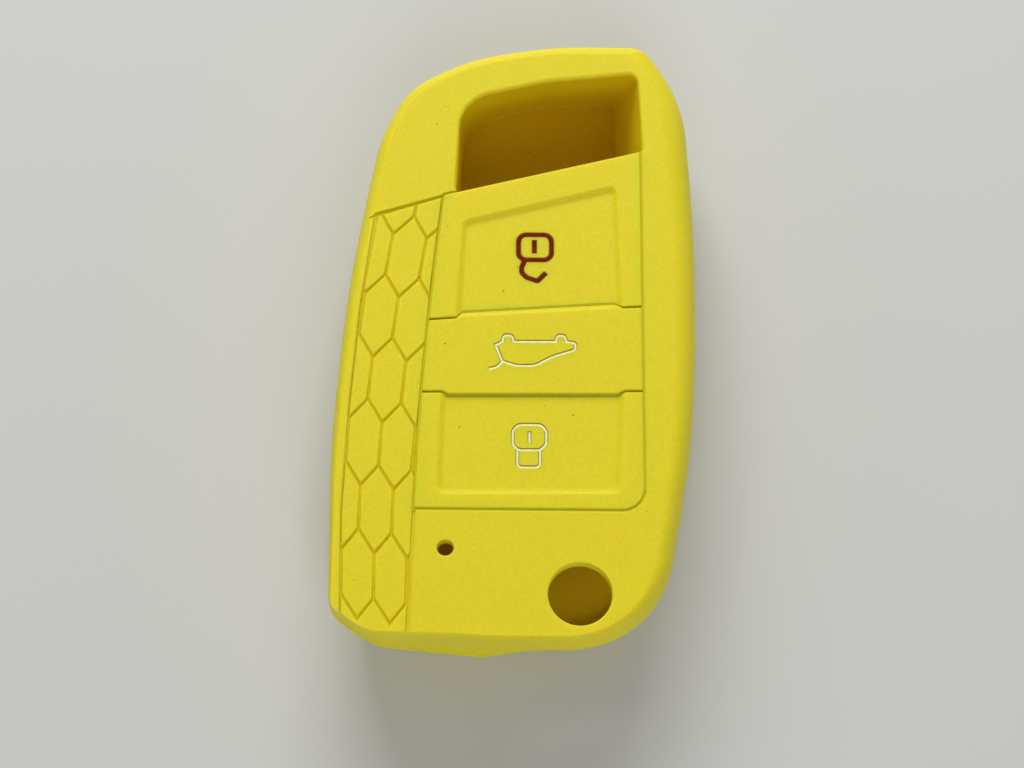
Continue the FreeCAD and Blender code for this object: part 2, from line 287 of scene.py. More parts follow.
# %% Outside of the sleeve
FRONT = 18.0
SHOULDER = 13.6
PARTING = 9.5
RIDGE_HALF = 0.2
RIDGE_REACH = 0.12
ridge_low, ridge_high = PARTING - RIDGE_HALF, PARTING + RIDGE_HALF
body_corners = [
    (16.19, 38.25, 1.8), (4.49, 38.30, 4.4), (-5.94, 36.38, 3.6), (-13.73, 32.32, 3.1),
    (-17.25, 25.86, 3.6), (-20.64, 5.97, 9.2), (-22.09, -15.99, 7.8), (-21.34, -33.43, 1.5),
    (-16.28, -37.03, 2.2), (-2.99, -38.30, 2.4), (16.77, -38.33, 10.3), (21.66, -12.24, 10.6),
    (22.08, 12.62, 8.4), (20.95, 30.98, 5.1),
]
sleeve = slab("sleeve_moulding", body_corners, ridge_low, ridge_high)
draw_in(sleeve, ridge_high, inward=0.3, depth=SHOULDER - ridge_high)
work_on(sleeve)
bpy.ops.object.mode_set(mode="EDIT")
choose_level(sleeve, PARTING)
bpy.ops.mesh.extrude_region_shrink_fatten(TRANSFORM_OT_shrink_fatten={"value": RIDGE_REACH})
bpy.ops.object.mode_set(mode="OBJECT")
describe(sleeve)

# %% [markdown]
# The back half is hidden in the hand and has rounder corners, so that its walls can draw in further. It is
# made from a copy of the outline and joined on below the ridge.

# %% Back half
BACK_EDGE = 3.0
TIGHT_REACH, EASED_REACH = 2, 3.1
soft_corners = [(x, y, EASED_REACH if reach < TIGHT_REACH else reach) for x, y, reach in body_corners]
seam = PARTING - RIDGE_HALF / 2
back_half = slab("back_half", soft_corners, seam, PARTING + 1)
draw_in(back_half, seam, inward=1.7, depth=seam - BACK_EDGE, aside=(0, 0.9))
describe(back_half)

# %% [markdown]
# The front edge isn't rounded by the same amount all round: it is full along the blade side, less at the top
# and left, and tight at the bottom. A bevel with a changing width folds on a curved rim. A chain of insets
# along a quarter of an ellipse doesn't, and moving each new face a little aside makes one side fuller.

# %% Rounding of the front and back edges
def quarter_turn(steps):
    """Pairs of neighbouring angles that divide a quarter turn."""
    angles = [math.pi / 2 * k / steps for k in range(steps + 1)]
    return zip(angles, angles[1:])


def round_off(piece, level, width, height, steps, aside=(0, 0), stretch=(0, 0), taper=0):
    """Round the rim of the end at a level; the end is moved, stretched and tapered as it is drawn in."""
    work_on(piece)
    bpy.ops.object.mode_set(mode="EDIT")
    choose_level(piece, level)
    for near, far in quarter_turn(steps):
        part = math.cos(near) - math.cos(far)
        bpy.ops.mesh.inset(thickness=width * part, depth=height * (math.sin(far) - math.sin(near)))
        bpy.ops.transform.translate(value=(aside[0] * part, aside[1] * part, 0))
        growth = (1 + stretch[0] * part, 1 + stretch[1] * part, 1)
        bpy.ops.transform.resize(value=growth, center_override=(0, 0, level))
        form = bmesh.from_edit_mesh(piece.data)
        for vertex in form.verts:
            if vertex.select:
                vertex.co.x *= 1 - taper * part * vertex.co.y
        bmesh.update_edit_mesh(piece.data)
    bpy.ops.object.mode_set(mode="OBJECT")


round_off(sleeve, SHOULDER, width=2.2, height=FRONT - SHOULDER, steps=10,
          aside=(-0.8, -0.9), stretch=(-0.004, 0.020), taper=0.001)
round_off(back_half, BACK_EDGE, width=3.2, height=BACK_EDGE, steps=6)
cut(sleeve, back_half, "UNION")
describe(sleeve)

# %% [markdown]
# At the lower left corner the face reaches right out to the edge. Proportional editing pulls the rim out there
# and takes the wall below along, less and less with its distance.

# %% Full corner
CORNER_SIZE = 3.4
corner_middle = Vector((-18.6, -35.3, FRONT))


def on_full_corner(vertex):
    return (vertex.co - corner_middle).length < CORNER_SIZE and vertex.co.z > FRONT - SAME_LEVEL


work_on(sleeve)
bpy.ops.object.mode_set(mode="EDIT")
choose(sleeve, "verts", on_full_corner)
bpy.ops.transform.translate(value=(-0.2, -0.7, 0), use_proportional_edit=True,
                            proportional_edit_falloff="SMOOTH", proportional_size=6.5)
bpy.ops.object.mode_set(mode="OBJECT")
describe(sleeve)

# %% [markdown]
# ## The hollow for the key
# Inside, the walls follow the outside at an even thickness. The hollow is a second solid of the same outline,
# drawn inward by the wall. All the openings are joined to it before one boolean takes the lot away.

# %% Hollow
WALL = 1.8
CEILING = 16.0
INSIDE_BACK = 2.0
hollow = slab("hollow", soft_corners, ridge_low, ridge_high, inward=WALL)
draw_in(hollow, ridge_high, inward=0.7, depth=CEILING - ridge_high)
draw_in(hollow, ridge_low, inward=2.0, depth=ridge_low - INSIDE_BACK, aside=(0, 1.5))
soften(hollow, 1.1, lambda edge: 0.55 if lies_at(edge, CEILING) else float(lies_at(edge, INSIDE_BACK)))
describe(hollow)

# %% [markdown]
# The key is narrower at the end with the ring, and the walls round the window are thick there. So the well
# under the window is a solid of its own: its outline at the window and its outline on the back have the same
# number of points, and one slab can be pulled from the one to the other.

# %% Well under the window
WINDOW_RIM = 0.45
WELL_TOP = FRONT - WINDOW_RIM - 0.02
WELL_FLOOR = 3.0
WELL_ROUNDING = 0.3
WELL_EDGE = WELL_FLOOR + WELL_ROUNDING
WELL_STEPS = 12
window_top = [(14.74, 33.12, 1.3), (3.52, 31.90, 1.2), (-6.91, 29.38, 3.7)]
well_front = [(-7.5, 15.0, 0), (13.0, 15.0, 0), (15.27, 22.0, 0), *window_top]
well_back = [(-7.4, 15.0, 0), (12.4, 15.0, 0), (12.95, 22.0, 0),
             (12.68, 36.20, 0.6), (4.2, 36.10, 3.0), (-7.0, 33.20, 3.9)]
well = slab("well", well_back, WELL_EDGE, WELL_TOP, fixed_steps=WELL_STEPS)
well_points = {point.to_tuple(2): i for i, point in enumerate(rounded(well_back, WELL_STEPS))}
front_points = rounded(well_front, WELL_STEPS)
for vertex in well.data.vertices:
    if vertex.co.z > PARTING:
        vertex.co.xy = front_points[well_points[vertex.co.xy.to_tuple(2)]]
round_off(well, WELL_EDGE, width=WELL_ROUNDING, height=WELL_ROUNDING, steps=3)
bpy.ops.object.mode_set(mode="EDIT")
choose(well, "faces", lambda face: len(face.verts) == 4)
bpy.ops.mesh.quads_convert_to_tris()
bpy.ops.object.mode_set(mode="OBJECT")
describe(well)

# %% [markdown]
# A block takes the ring end out of the hollow again, and the well takes its place. Both tools get the finishes
# of the inside before they are joined: painted shade for the faces that will be the inside of the back, and a
# painted glow for the walls.

# %% Hollow with its well
LOOKS_BACK = -0.3
ring_end = [(-24.0, 18.4, 0), (24.0, 18.4, 0), (24.0, 44.0, 0), (-24.0, 44.0, 0)]
cut(hollow, slab("ring_end", ring_end, 0.5, FRONT + 0.5))
# The walls get a painted glow, and the faces that look back get painted shade.
for tool in (hollow, well):
    give_finish(tool, INNER_WALL_GLOW)
    for face in tool.data.polygons:
        if face.normal.z < LOOKS_BACK:
            face.material_index = INNER_BACK_SHADE
cut(hollow, well, "UNION")
describe(hollow)

# %% [markdown]
# ## Window, panel and round holes
# The window's lower edge is the top pad itself, so the opening for the pads runs into the window. The left
# side of the panel is one long shallow arc, which a short formula gives at any height. A bevel along the rims
# would have to follow hundreds of short edges. Instead each tool is flared where it meets the face, and the
# rim of its hole comes out round.

# %% Openings in the front wall
GROOVE = 0.12
PANEL_RIGHT = 15.16
PANEL_BOTTOM = -23.03
PANEL_CORNER = 2.86
HAIR = 0.001


def panel_left(y):
    """Middle of the groove along the left of the pads."""
    return -11.1 + 0.0567 * (y + 10) + 0.00107 * (y + 10) ** 2


def opening(corners, rim, low=CEILING - 1, steps=4):
    """Tool for a hole through the front wall, flared at the face so that the hole's rim comes out round."""
    tool = slab("opening", spread(corners, rim), FRONT, FRONT + 1)
    level = FRONT
    for near, far in quarter_turn(steps):
        depth = rim * (math.cos(near) - math.cos(far))
        draw_in(tool, level, rim * (math.sin(far) - math.sin(near)), depth)
        level -= depth
    draw_in(tool, level, HAIR, level - low)
    return tool


window_corners = [(-7.50, 16.75, 0.9), (15.29, 22.55, 0.5), *window_top]
panel_heights = (16.70, 8.5, 0.4, -4.0, -8.7, -15.7, PANEL_BOTTOM)
panel_corners = [(panel_left(y) - GROOVE, y, 0) for y in panel_heights]
panel_corners += [(PANEL_RIGHT, PANEL_BOTTOM, PANEL_CORNER), (PANEL_RIGHT, 22.95, 0)]
cut(hollow, opening(window_corners, WINDOW_RIM, low=WELL_TOP - 0.03), "UNION")
cut(hollow, opening(panel_corners, rim=0.10), "UNION")
describe(hollow)

# %% [markdown]
# The large round hole lets a thumb reach the release button, and the pin hole shows the key's lamp. They are
# cut with the same flared tool, over a ring of points.

# %% Round holes
HOLE_POINTS = 72
circle = [math.tau * k / HOLE_POINTS for k in range(HOLE_POINTS)]
release_hole = (7.52, -32.67, 3.65, 0.15)
lamp_hole = (-7.83, -27.43, 0.95, 0.12)
for x, y, radius, rim in (release_hole, lamp_hole):
    ring = [(x + radius * math.cos(angle), y + radius * math.sin(angle), 0) for angle in circle]
    cut(hollow, opening(ring, rim), "UNION")
describe(hollow)

# %% [markdown]
# ## The blade slot
# The blade folds out through the right side, so that wall is open over most of its length. Near the bottom
# corner, where the blade's root turns, the slot is wider and runs round into the bottom wall. The tool for
# this end is drawn lying down and then turned upright.

# %% Slot
def runs_along_x(edge):
    first, last = (vertex.co for vertex in edge.verts)
    return float(abs((first - last).normalized().x) > 0.9)


def block(low, high, rounding):
    """Box between two corners, its edges along X rounded."""
    clear_selection()
    middle = [(a + b) / 2 for a, b in zip(low, high)]
    bpy.ops.mesh.primitive_cube_add(size=1, location=middle)
    piece = bpy.context.object
    piece.scale = [b - a for a, b in zip(low, high)]
    bpy.ops.object.transform_apply(location=True, scale=True)
    soften(piece, rounding, runs_along_x)
    return piece


slot_tool = block((14.9, -19.5, 6.4), (24.0, 22.5, 11.6), rounding=1.2)
root_corners = [(-3.3, 9.5, 0.4), (2.4, 5.2, 2.2), (24.0, 5.0, 0), (24.0, 13.0, 0), (2.4, 12.9, 2.2)]
root_slot = slab("root_slot", root_corners, 17.8, 41.0)
root_slot.rotation_euler.x = math.pi / 2
bpy.ops.object.transform_apply(rotation=True)
cut(slot_tool, root_slot, "UNION")
cut(hollow, slot_tool, "UNION")
describe(hollow)
cut(sleeve, hollow)
describe(sleeve)
print("faces inside:", sum(face.material_index in (INNER_WALL_GLOW, INNER_BACK_SHADE) for face in sleeve.data.polygons))

# %% [markdown]
# ## Honeycomb strip
# The grip strip on the left is a net of shallow grooves. Cutting each groove by itself would take dozens of
# booleans. It is quicker to start with a thin plate over the whole strip and to take the cells out of it:
# what is left is the net of grooves, with sloping sides because the cells taper. The pattern ends in a zigzag
# near the bottom edge, so one wide cell fills the rest of the strip there.

# %% Cells of the strip
STRIP_FLOOR = 17.66
ROWS = 7
ROW_HEIGHT = 7.834
POINT_HEIGHT = 1.305


def net_corner(row, column, rise):
    """Corner of a cell: rows run a little downhill and columns follow the curve of the grip."""
    y = 20.13 - ROW_HEIGHT * row + POINT_HEIGHT * rise - 0.264 * column
    return -14.33 + (2.016 + 0.005 * y) * column + 0.1153 * y + 0.0021 * y ** 2, y, 0


def hexagon(row, column):
    """The six corners of a cell, from its top point round by the left."""
    around = ((0, 0, 1), (0, -1, -1), (1, -1, 1), (1, 0, -1), (1, 1, 1), (0, 1, -1))
    return [net_corner(row + down, column + across, rise) for down, across, rise in around]


def cell(corners):
    """One cell that tapers upwards."""
    piece = slab("cell", corners, STRIP_FLOOR - 0.3, STRIP_FLOOR, inward=0.04)
    draw_in(piece, STRIP_FLOOR, inward=0.18, depth=FRONT - STRIP_FLOOR)
    draw_in(piece, FRONT, inward=0.05, depth=1.2)
    return piece


cells = [cell(hexagon(row, column))
         for row in range(ROWS) for column in range(-4 + (row + 1) % 2, 4, 2)]
zigzag = [net_corner(ROWS, column, 1 if column % 2 == 0 else -1) for column in range(-5, 4)]
cells.append(cell([(-26.0, -46.0, 0), *zigzag, (-6.0, -46.0, 0)]))
clear_selection()
for piece in cells:
    piece.select_set(True)
bpy.context.view_layer.objects.active = cells[0]
bpy.ops.object.join()
honeycomb_cells = bpy.context.object
describe(honeycomb_cells)

# %% [markdown]
# The cells are cut off along the sides of the strip before they come out of the plate. A short spur carries
# the top line of the strip on to the rim of the cover.

# %% Grooves of the strip
PLATE_TOP = FRONT + 0.8


def strip_corners(margin):
    """Outline of the strip, larger or smaller by a margin."""
    right = [(panel_left(y) + margin, y, 0) for y in (-12.0, 5.0)]
    return right + [
        (-8.9 + margin, 16.35 + 1.3 * margin, 0), (-16.9 - margin, 13.75 + 1.3 * margin, 0),
        (-18.47 - margin / 3, 2.3, 0), (-19.38 - margin / 3, -10.3, 0), (-19.88 - margin / 3, -23.1, 0),
        (-19.5 - margin / 3, -39.5 - margin, 0), (-12.0 + margin, -39.5 - margin, 0),
    ]


bound = slab("strip_inside", strip_corners(-0.1), STRIP_FLOOR - 0.6, STRIP_FLOOR)
draw_in(bound, STRIP_FLOOR, inward=0.15, depth=FRONT - STRIP_FLOOR)
draw_in(bound, FRONT, inward=0.05, depth=1.4)
cut(honeycomb_cells, bound, "INTERSECT")
net = slab("groove_net", strip_corners(0.22), STRIP_FLOOR, PLATE_TOP)
cut(net, honeycomb_cells)
describe(net)
spur_corners = [(-16.7, 13.95, 0), (-19.0, 13.02, 0), (-19.0, 12.72, 0), (-16.7, 13.65, 0)]
spur = slab("spur", spur_corners, STRIP_FLOOR, PLATE_TOP)
# The groove net and the spur leave the painted shade of the groove floors in the sleeve.
for tool in (net, spur):
    give_finish(tool, GROOVE_SHADE)
    cut(sleeve, tool)
describe(sleeve)

# %% [markdown]
# A faint ring on the face near the window is where a pin of the mould stood. A thin torus presses it in. The
# many booleans have left points that all but coincide, and these are merged before the sleeve is shaded. The
# sleeve is then finished, so it is brought down to metres and tied to the frame.

# %% Mould mark and shading of the sleeve
def smooth(piece, angle=40):
    """Shade a piece smoothly, apart from edges that turn by more than an angle in degrees."""
    work_on(piece)
    bpy.ops.object.shade_smooth_by_angle(angle=math.radians(angle))
    bpy.ops.object.modifier_add(type="WEIGHTED_NORMAL")
    piece.modifiers[-1].keep_sharp = True
    bpy.ops.object.modifier_apply(modifier=piece.modifiers[-1].name)


def to_metres(piece):
    """Bring a finished piece down from millimetres, with the scale in its mesh."""
    work_on(piece)
    piece.scale = (MM, MM, MM)
    bpy.ops.object.transform_apply(scale=True)


clear_selection()
bpy.ops.mesh.primitive_torus_add(
    location=(-8.8, 27.8, FRONT + 0.05), major_radius=0.5, minor_radius=0.10,
    major_segments=32, minor_segments=10)
cut(sleeve, bpy.context.object)
work_on(sleeve)
bpy.ops.object.mode_set(mode="EDIT")
bpy.ops.mesh.select_all(action="SELECT")
bpy.ops.mesh.remove_doubles(threshold=HAIR)
bpy.ops.object.mode_set(mode="OBJECT")
smooth(sleeve)
describe(sleeve)
to_metres(sleeve)
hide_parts("sleeve")
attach(sleeve, "sleeve")

# %% [markdown]
# ## Press pads
# Two grooves divide the panel into three pads, and they step aside where they cross a dish. Each groove is a
# line of points along its middle, and the edges of the pads run beside it.

# %% Bodies of the pads
PAD_RIGHT = 14.91
PAD_BOTTOM = -22.67
PAD_CORNER = 2.5
HALF_DIVIDER = 0.16
upper_divider = [(-10.8, 0.38), (-7.1, 0.63), (-6.3, 1.45), (11.7, 2.68), (12.7, 2.08), (15.2, 2.22)]
lower_divider = [(-11.4, -8.67), (-8.55, -8.64), (-7.9, -9.0), (12.0, -8.82), (12.9, -8.40), (15.2, -8.38)]


def pad_left(*heights):
    return [(panel_left(y) + GROOVE, y, 0) for y in heights]


def pad_edge(divider, side):
    """Points of a divider, moved half a groove to one side, with its ends on the pad's sides."""
    left_y, *_, right_y = (y + side * HALF_DIVIDER for x, y in divider)
    middle = [(x, y + side * HALF_DIVIDER, 0) for x, y in divider[1:-1]]
    return pad_left(left_y) + middle + [(PAD_RIGHT, right_y, 0)]


unlock_outline = pad_edge(upper_divider, 1) + [(PAD_RIGHT, 22.38, 0)] + pad_left(16.45, 8.5)
boot_outline = pad_edge(lower_divider, 1) + pad_edge(upper_divider, -1)[::-1] + pad_left(-4.0)
lock_outline = pad_left(PAD_BOTTOM) + [(PAD_RIGHT, PAD_BOTTOM, PAD_CORNER)]
lock_outline += pad_edge(lower_divider, -1)[::-1] + pad_left(-15.7)
unlock_pad = slab("unlock_pad", unlock_outline, CEILING, FRONT)
boot_pad = slab("boot_pad", boot_outline, CEILING, FRONT)
lock_pad = slab("lock_pad", lock_outline, CEILING, FRONT)
for pad in (unlock_pad, boot_pad, lock_pad):
    describe(pad)

# %% [markdown]
# The top and bottom pads are dished for a fingertip and the middle one stands between the dishes. A tool with
# a softly swinging wall presses each dish in, and a third one slopes the upper edge of the middle pad down to
# the groove. The rims of the pads are softened before that, because a bevel along the fine facets of a dish
# would fold.

# %% Dishes
DISH_FLOOR = 17.52
unlock_dish = [(-6.95, 0.62, 0), (12.45, 1.95, 0), (11.85, 17.6, 0.8), (-6.30, 12.9, 0.8)]
boot_slope = [(-6.95, 1.02, 0), (12.45, 2.35, 0), *unlock_dish[2:]]
lock_dish = [(-8.75, -20.75, 0.8), (12.0, -20.55, 0.8), (12.6, -7.95, 0), (-8.5, -8.15, 0)]


def dish_tool(corners, slope=0.9, steps=6):
    """Tool whose wall swings from the face down to the floor of the dish in a soft S."""
    tool = slab("dish", spread(corners, slope / 2), FRONT, FRONT + 0.5)
    sinks = [(FRONT - DISH_FLOOR) * t * t * (3 - 2 * t) for t in (k / steps for k in range(steps + 1))]
    for near, far in zip(sinks, sinks[1:]):
        draw_in(tool, FRONT - near, slope / steps, far - near)
    return tool


def divide(piece):
    """Clear away slivers that a boolean left, and divide the large faces."""
    work_on(piece)
    bpy.ops.object.mode_set(mode="EDIT")
    bpy.ops.mesh.select_all(action="SELECT")
    bpy.ops.mesh.dissolve_degenerate(threshold=0.002)
    bpy.ops.mesh.quads_convert_to_tris(quad_method="BEAUTY", ngon_method="BEAUTY")
    bpy.ops.object.mode_set(mode="OBJECT")


def top_edge(edge):
    return float(turn(edge) > 45 and min(vertex.co.z for vertex in edge.verts) > FRONT - 1)


for pad, dish in ((unlock_pad, unlock_dish), (boot_pad, boot_slope), (lock_pad, lock_dish)):
    soften(pad, 0.13, top_edge, segments=3)
    cut(pad, dish_tool(dish))
    divide(pad)
    describe(pad)

# %% [markdown]
# ## Symbols
# The symbols are thin channels with ink in them. A line of points is drawn up into a ribbon and Solidify gives
# the ribbon the width of the line, with clean corners. The wider and taller ribbon cuts the channel and the
# narrower one is the ink that lies in it.

# %% Ribbons
def ribbon(points, width, low, high, closed):
    """Upright wall of one line width along (x, y, reach) points."""
    ends = [Vector(points[i][:2]) for i in (0, -1)]

    def joins_ends(edge):
        return all(min((vertex.co.xy - end).length for end in ends) < HAIR for vertex in edge.verts)

    piece = outline("ribbon", points, low)
    bpy.ops.object.mode_set(mode="EDIT")
    choose(piece, "faces", lambda face: True)
    bpy.ops.mesh.delete(type="ONLY_FACE")
    bpy.ops.mesh.select_mode(type="EDGE")
    if not closed:
        choose(piece, "edges", joins_ends)
        bpy.ops.mesh.delete(type="EDGE")
    bpy.ops.mesh.select_all(action="SELECT")
    bpy.ops.mesh.extrude_region_move(TRANSFORM_OT_translate={"value": (0, 0, high - low)})
    bpy.ops.object.mode_set(mode="OBJECT")
    bpy.ops.object.modifier_add(type="SOLIDIFY")
    wall = piece.modifiers[-1]
    wall.thickness = width
    wall.offset = 0
    wall.use_even_offset = True
    bpy.ops.object.modifier_apply(modifier=wall.name)
    bpy.ops.object.mode_set(mode="EDIT")
    face_outward()
    bpy.ops.object.mode_set(mode="OBJECT")
    return piece


def symbol(name, lines, width, low, high):
    """All the lines of a symbol as one solid."""
    first, *others = [ribbon(points, width, low, high, closed) for points, closed in lines]
    for other in others:
        cut(first, other, "UNION")
    first.name = name
    first.data.name = name
    return first


# %% [markdown]
# Each symbol is a list of lines, and each line says whether it is closed. Where a corner is tighter than the
# ribbon is wide, the corner stays sharp, because the inner side of the ribbon would fold.

# %% Lines of the symbols
open_lock = [
    ([(0.25, 8.16, 0.95), (4.22, 8.16, 0.95), (4.22, 11.42, 0.95), (0.25, 11.42, 0.95)], True),
    ([(2.16, 10.75, 0), (2.16, 9.90, 0), (2.16, 8.98, 0)], False),
    ([(1.05, 8.16, 0), (0.64, 7.2, 0.2), (0.64, 6.56, 0.2), (1.17, 5.92, 0.2), (2.56, 5.42, 0.1),
      (3.56, 6.51, 0)], False),
]
car = [
    ([(-2.36, -2.86, 0), (-1.55, -2.42, 0), (-1.42, -1.62, 0.3), (-0.45, -1.62, 0.3), (-0.25, -2.42, 0),
      (4.75, -2.38, 0), (4.9, -1.6, 0.3), (5.75, -1.6, 0.3), (5.98, -2.38, 0), (7.08, -2.55, 0.3),
      (7.0, -3.4, 0.3), (4.28, -4.3, 0.3), (2.3, -5.4, 0.5), (0.2, -5.45, 0.5), (-1.55, -4.9, 0.3)], True),
    ([(-1.5, -4.86, 0), (-2.17, -5.61, 0.2), (-3.1, -5.86, 0)], False),
]
shut_lock = [
    ([(0.42, -12.55, 0.36), (-0.25, -13.20, 0.36), (-0.25, -14.95, 0.36), (0.40, -15.63, 0.36),
      (2.88, -15.63, 0.36), (3.65, -14.95, 0.36), (3.65, -13.25, 0.36), (3.02, -12.55, 0.36)], True),
    ([(1.69, -13.4, 0), (1.69, -14.1, 0), (1.69, -14.8, 0)], False),
    ([(0.30, -15.55, 0), (0.30, -17.36, 0.2), (0.64, -17.71, 0.2), (2.62, -17.71, 0.2),
      (2.95, -17.34, 0.2), (2.95, -15.55, 0)], False),
]
print("lines in the symbols:", len(open_lock), len(car), len(shut_lock))

# %% [markdown]
# The list below gives, for each pad, the level of the face at its symbol, the width of the lines, how far the
# ink lies under the face, and the ink's slot. A channel sits a little higher on the face than its ink.

# %% Channels and ink
CHANNEL_DEPTH = 0.30
CHANNEL_MARGIN = 0.17
CHANNEL_SHIFT = 0.08
symbols = [
    ("unlock", unlock_pad, open_lock, DISH_FLOOR, 0.46, 0.03, "red_ink"),
    ("boot", boot_pad, car, FRONT, 0.23, 0.08, "white_ink"),
    ("lock", lock_pad, shut_lock, DISH_FLOOR, 0.23, 0.08, "white_ink"),
]
inks = []
for name, pad, lines, face, width, sunk, ink_slot in symbols:
    shifted = [([(x, y + CHANNEL_SHIFT, reach) for x, y, reach in points], closed) for points, closed in lines]
    channel = symbol("channel", shifted, width + CHANNEL_MARGIN, face - CHANNEL_DEPTH, face + 1)
    # The channel leaves the painted shade of the groove floors on the walls and floor it cuts.
    give_finish(channel, GROOVE_SHADE)
    cut(pad, channel)
    ink = symbol(name + "_ink", lines, width, face - CHANNEL_DEPTH, face - sunk)
    inks.append(ink)
    for piece, node, finish in ((pad, "_button", "silicone"), (ink, "_symbol_ink", ink_slot)):
        smooth(piece)
        describe(piece)
        to_metres(piece)
        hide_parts(name + node)
        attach(piece, name + "_button")

# %% [markdown]
# ## Groove floors
# Under the grooves the wall is thin, and this web bends when a pad is pressed. Each side of a pad gets its own
# strip.

# %% Strip of web
WEB_TOP = 17.78
DIVIDER_TOP = 17.50
WEB_BASE = 16.06
WEB_SAG = 0.06


def web(name, outer, inner, pad, top=WEB_TOP):
    """Strip between two lines of (x, y) points, hollowed along its middle."""
    clear_selection()
    count = len(outer)
    bpy.ops.mesh.primitive_grid_add(x_subdivisions=count - 1, y_subdivisions=2, size=10)
    piece = bpy.context.object
    piece.name = name
    piece.data.name = name
    middle = [((a + c) / 2, (b + d) / 2) for (a, b), (c, d) in zip(outer, inner)]
    for row, (line, drop) in enumerate(((outer, 0), (middle, WEB_SAG), (inner, 0))):
        for i, (x, y) in enumerate(line):
            piece.data.vertices[row * count + i].co = (x, y, top - drop)
    bpy.ops.object.mode_set(mode="EDIT")
    bpy.ops.mesh.select_all(action="SELECT")
    bpy.ops.mesh.extrude_region_move(TRANSFORM_OT_translate={"value": (0, 0, WEB_BASE - top)})
    face_outward()
    bpy.ops.object.mode_set(mode="OBJECT")
    smooth(piece, 30)
    half = count // 2
    start = Vector((*outer[half], top))
    across = Vector((*inner[half], top)) - start
    along = (Vector(outer[-1]) - Vector(outer[0])).normalized()
    across -= across.dot(along.to_3d()) * along.to_3d()
    describe(piece)
    to_metres(piece)
    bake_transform(piece)
    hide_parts(pad + "_button_web")
    return piece


# %% [markdown]
# The strips at the left and right run from divider to divider. Along a divider each pad has a strip of its
# own, which starts at the middle of the groove.

# %% Webs along the sides and dividers
upper_left, lower_left = upper_divider[0][1], lower_divider[0][1]
upper_right, lower_right = upper_divider[-1][1], lower_divider[-1][1]
left_sides = {"unlock": (16.55, 8.5, upper_left), "boot": (upper_left, -4.0, lower_left),
              "lock": (lower_left, -15.7, (PANEL_BOTTOM + PAD_BOTTOM) / 2)}
right_sides = {"unlock": (upper_right, 22.6), "boot": (lower_right, upper_right), "lock": (-20.2, lower_right)}
dividing_sides = [("unlock", upper_divider, 1), ("boot", upper_divider, -1),
                  ("boot", lower_divider, 1), ("lock", lower_divider, -1)]
webs = []
for name, heights in left_sides.items():
    outer = [(panel_left(y) - GROOVE, y) for y in heights]
    inner = [(panel_left(y) + GROOVE, y) for y in heights]
    webs.append(web(name + "_web_left", outer, inner, name))
for name, (low, high) in right_sides.items():
    heights = (low, (low + high) / 2, high)
    outer, inner = ([(x, y) for y in heights] for x in (PANEL_RIGHT, PAD_RIGHT))
    webs.append(web(name + "_web_right", outer, inner, name))
for name, divider, side in dividing_sides:
    inner = [(x, y) for x, y, reach in pad_edge(divider, side)]
    outer = [(inner[0][0], divider[0][1])] + divider[1:-1] + [(inner[-1][0], divider[-1][1])]
    webs.append(web(name + ("_web_low" if side > 0 else "_web_high"), outer, inner, name, top=DIVIDER_TOP))

# %% [markdown]
# The panel's lower right corner is round, so a short curved strip closes the groove there. At the top only the
# piece beside the window is left, because the pad ends at the window.

# %% Webs at the bottom and the top
def corner_arc(right, bottom, radius):
    """Points round the panel's lower right corner."""
    angles = (math.radians(angle) for angle in (0, 22.5, 45, 67.5, 90))
    return [(right - radius + radius * math.cos(a), bottom + radius - radius * math.sin(a)) for a in angles]


outer = [(x, PANEL_BOTTOM) for x in (-11.9, 0.0, PANEL_RIGHT - PANEL_CORNER)]
inner = [(x, PAD_BOTTOM) for x in (-11.6, 0.0, PAD_RIGHT - PAD_CORNER)]
webs.append(web("lock_web_bottom", outer, inner, "lock"))
outer = [(-9.2, 16.70), (-8.3, 16.93), (-7.4, 17.15)]
inner = [(-9.0, 16.38), (-8.3, 16.55), (-7.4, 16.78)]
webs.append(web("unlock_web_top", outer, inner, "unlock"))
outer = corner_arc(PANEL_RIGHT, PANEL_BOTTOM, PANEL_CORNER)
inner = corner_arc(PAD_RIGHT, PAD_BOTTOM, PAD_CORNER)
webs.append(web("lock_web_corner", outer, inner, "lock"))

# %% [markdown]
# ## Materials
# All patterns in the materials read Object coordinates, so they stay in place on every piece. Noise gives the
# clouds in a colour through a ramp, and the fine grain through a bump.

# %% Helpers for materials
def finish_nodes(name, color, roughness):
    """Material with a plain colour, its node tree and its shader."""
    material = bpy.data.materials.get(name) or bpy.data.materials.new(name)
    material.use_nodes = True
    shader = material.node_tree.nodes["Principled BSDF"]
    shader.inputs["Base Color"].default_value = (*color, 1)
    shader.inputs["Roughness"].default_value = roughness
    return material, material.node_tree, shader


def noise(tree, scale, detail):
    place = tree.nodes.new("ShaderNodeTexCoord")
    texture = tree.nodes.new("ShaderNodeTexNoise")
    texture.inputs["Scale"].default_value = scale
    texture.inputs["Detail"].default_value = detail
    tree.links.new(place.outputs["Object"], texture.inputs["Vector"])
    return texture.outputs["Fac"]


def clouds(tree, scale, detail, dark, light, spread_to):
    """Colour that wavers between dark and light; spread_to is where on the noise the two are reached."""
    colors = tree.nodes.new("ShaderNodeValToRGB")
    for stop, position, color in zip(colors.color_ramp.elements, spread_to, (dark, light)):
        stop.position = position
        stop.color = (*color, 1)
    tree.links.new(noise(tree, scale, detail), colors.inputs["Fac"])
    return colors.outputs["Color"]


def grain(tree, shader, scale, strength, distance):
    """Fine bumps; the distance is in millimetres."""
    bump = tree.nodes.new("ShaderNodeBump")
    bump.inputs["Strength"].default_value = strength
    bump.inputs["Distance"].default_value = distance * MM
    tree.links.new(noise(tree, scale, detail=3), bump.inputs["Height"])
    tree.links.new(bump.outputs["Normal"], shader.inputs["Normal"])


# %% [markdown]
# A few dark specks of dust lie on the silicone. They are the points of a cell pattern, thinned out by the
# colour that the pattern gives to each cell.

